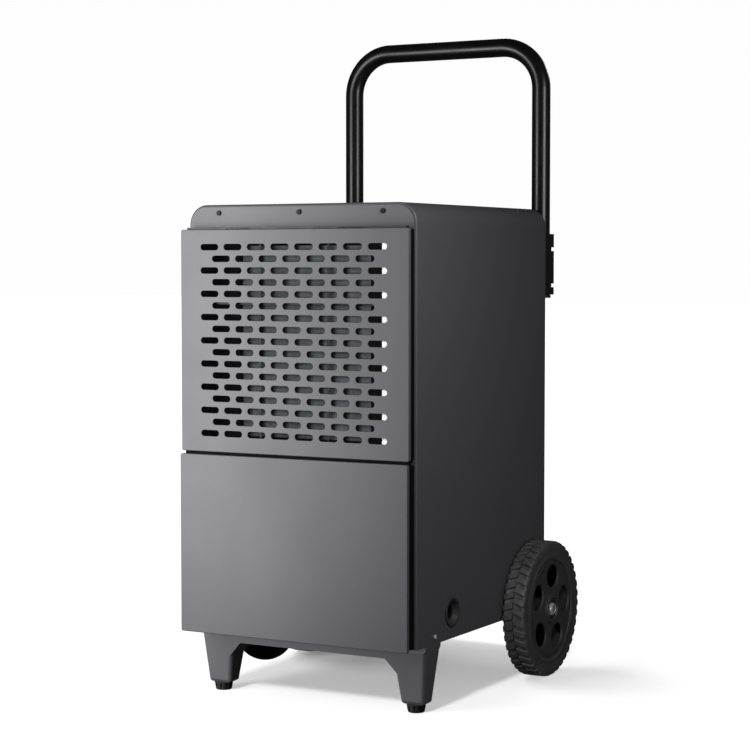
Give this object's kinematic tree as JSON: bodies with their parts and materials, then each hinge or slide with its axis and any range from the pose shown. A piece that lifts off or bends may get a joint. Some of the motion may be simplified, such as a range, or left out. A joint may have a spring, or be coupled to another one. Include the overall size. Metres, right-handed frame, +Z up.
{
  "type": "dehumidifier",
  "caption": "Upright commercial dehumidifier: sheet steel case with slotted front grille, plain lower panel, two rear wheels, two front legs and a pull-up tube handle.",
  "frame": {"origin": "on the floor, in the middle of the machine's footprint", "axes": "+Z up, the slotted front faces -Y, +X is the side with the drain port"},
  "size_m": [0.4458, 0.4888, 0.959],
  "materials": {
    "grey_paint": "satin textured powder coat, warm dark grey",
    "zinc_steel": "galvanised sheet",
    "bright_steel": "bright zinc plating",
    "black_screws": "black oxide",
    "black_gloss_paint": "gloss black paint",
    "black_plastic": "fine moulded texture, black",
    "filter_net": "woven nylon net, dark grey",
    "black_rubber": "matt moulded rubber",
    "tyre_rubber": "matt tyre rubber, moulded tread",
    "nylon": "moulded nylon, black",
    "fin_aluminium": "hydrophilic coated fins, slightly green-blue",
    "copper": "drawn copper tube",
    "white_foam": "expanded foam beads, white",
    "hose_rubber": "smooth soft hose, grey",
    "motor_casting": "ribbed casting, grey",
    "bracket_steel": "black painted steel",
    "compressor_paint": "gloss black enamel",
    "capacitor_can": "drawn can",
    "tank_plastic": "moulded polypropylene, dark grey",
    "panel_plastic": "satin black",
    "display": "dark smoked lens",
    "button_plastic": "satin mid grey"
  },
  "bodies": {
    "chassis": {"cover": "grey_paint", "front_frame": "grey_paint", "grille_panel": "grey_paint", "lower_panel": "grey_paint", "rear_panel": "grey_paint", "front_leg_bar": "grey_paint", "base_pan": "zinc_steel", "mid_shelf": "zinc_steel", "coil_end_plates": "zinc_steel", "axle_washers": "zinc_steel", "axle_brackets": "zinc_steel", "axle": "bright_steel", "axle_nuts": "bright_steel", "screws_bright": "bright_steel", "screws_front": "black_screws", "screws_rear": "black_screws", "filter_carrier": "black_plastic", "lower_spacer": "black_plastic", "outlet_grille": "black_plastic", "handle_bracket_left": "black_plastic", "handle_bracket_right": "black_plastic", "sump": "black_plastic", "drip_tray": "black_plastic", "drain_port": "black_plastic", "fan_shroud": "black_plastic", "cable_gland": "black_plastic", "float_switch": "black_plastic", "rubber_feet": "black_rubber", "compressor_mounts": "black_rubber", "coil_baffles": "black_rubber", "electric_box": "nylon", "evaporator_fins": "fin_aluminium", "condenser_fins": "fin_aluminium", "coil_tubes": "copper", "refrigerant_pipes": "copper", "foam_liner": "white_foam", "drain_hose": "hose_rubber", "fan_motor": "motor_casting", "motor_bracket": "bracket_steel", "compressor": "compressor_paint", "run_capacitor": "capacitor_can", "control_panel": "panel_plastic", "display_lens": "display"},
    "wheel_right": {"tyre_right": "tyre_rubber", "rim_right": "black_plastic", "wheel_bush_right": "nylon"},
    "wheel_left": {"tyre_left": "tyre_rubber", "rim_left": "black_plastic", "wheel_bush_left": "nylon"},
    "handle": {"handle_tube": "black_gloss_paint", "handle_end_caps": "black_plastic"},
    "fan": {"fan_impeller": "nylon"},
    "filter": {"filter_frame": "black_plastic", "filter_mesh": "filter_net"},
    "tank": {"water_tank": "tank_plastic"},
    "float": {"tank_float": "white_foam"},
    "button_power": {"button_power": "button_plastic"},
    "button_mode": {"button_mode": "button_plastic"},
    "button_up": {"button_up": "button_plastic"},
    "button_down": {"button_down": "button_plastic"}
  },
  "joints": [
    {"name": "wheel_right_spin", "type": "hinge", "parent": "chassis", "child": "wheel_right", "pos_m": [0.2015, 0.14335, 0.101], "axis": [1, 0, 0], "continuous": true},
    {"name": "wheel_left_spin", "type": "hinge", "parent": "chassis", "child": "wheel_left", "pos_m": [-0.2015, 0.14335, 0.101], "axis": [1, 0, 0], "continuous": true},
    {"name": "handle_slide", "type": "slide", "parent": "chassis", "child": "handle", "axis": [0, 0, 1], "range_m": [-0.2, 0]},
    {"name": "fan_spin", "type": "hinge", "parent": "chassis", "child": "fan", "pos_m": [0, -0.05765, 0.508], "axis": [0, 1, 0], "continuous": true},
    {"name": "filter_slide", "type": "slide", "parent": "chassis", "child": "filter", "axis": [0, 0, 1], "range_m": [0, 0.3]},
    {"name": "tank_slide", "type": "slide", "parent": "chassis", "child": "tank", "axis": [0, 1, 0], "range_m": [0, 0.19]},
    {"name": "float_swing", "type": "hinge", "parent": "tank", "child": "float", "pos_m": [-0.08, 0.02035, 0.305], "axis": [1, 0, 0], "range_deg": [0, 20]},
    {"name": "button_power_press", "type": "slide", "parent": "chassis", "child": "button_power", "axis": [0, 0, -1], "range_m": [0, 0.0015], "stiffness_N_per_m": 400},
    {"name": "button_mode_press", "type": "slide", "parent": "chassis", "child": "button_mode", "axis": [0, 0, -1], "range_m": [0, 0.0015], "stiffness_N_per_m": 400},
    {"name": "button_up_press", "type": "slide", "parent": "chassis", "child": "button_up", "axis": [0, 0, -1], "range_m": [0, 0.0015], "stiffness_N_per_m": 400},
    {"name": "button_down_press", "type": "slide", "parent": "chassis", "child": "button_down", "axis": [0, 0, -1], "range_m": [0, 0.0015], "stiffness_N_per_m": 400}
  ]
}
